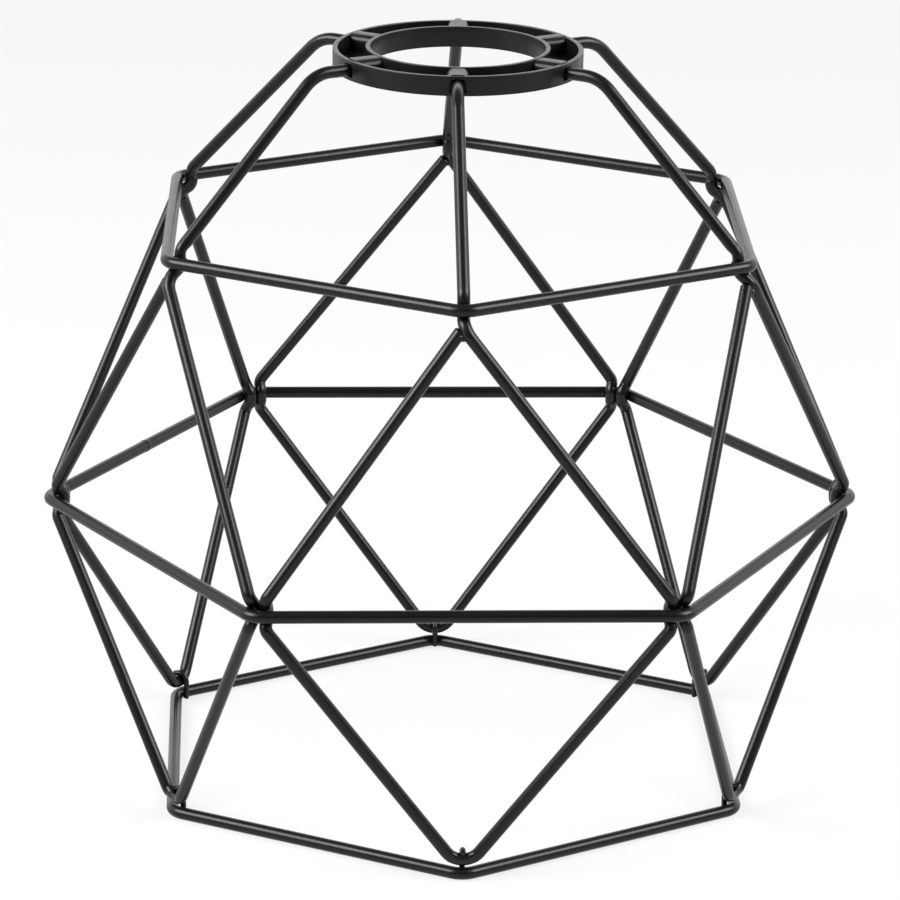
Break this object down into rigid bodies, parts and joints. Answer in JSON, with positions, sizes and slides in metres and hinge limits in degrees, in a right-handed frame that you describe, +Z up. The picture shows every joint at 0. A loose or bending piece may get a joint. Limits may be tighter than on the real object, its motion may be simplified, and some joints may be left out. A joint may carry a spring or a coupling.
{
  "type": "lampshade",
  "caption": "Faceted open wire lampshade: hexagonal hoops joined by diamond wire loops, hung from a moulded fitter ring that slips over a lampholder",
  "frame": {"origin": "centre of the lampholder hole, level with the top rim of the fitter ring", "axes": "Z up along the hole, X along the widest corners of the middle hoop, the front corner of the upper and lower hoops along -Y"},
  "size_m": [0.2, 0.175, 0.1819],
  "materials": {
    "coated_wire": "satin black powder coat",
    "ring_plastic": "fine matt moulded"
  },
  "bodies": {
    "root": {"fitter_ring": "ring_plastic", "upper_hoop": "coated_wire", "middle_hoop": "coated_wire", "lower_hoop": "coated_wire", "loop_wire_1": "coated_wire", "loop_wire_2": "coated_wire", "loop_wire_3": "coated_wire", "loop_wire_4": "coated_wire", "loop_wire_5": "coated_wire", "loop_wire_6": "coated_wire", "tie_clip_1": "coated_wire", "tie_clip_2": "coated_wire", "tie_clip_3": "coated_wire", "tie_clip_4": "coated_wire", "tie_clip_5": "coated_wire", "tie_clip_6": "coated_wire"}
  },
  "joints": []
}
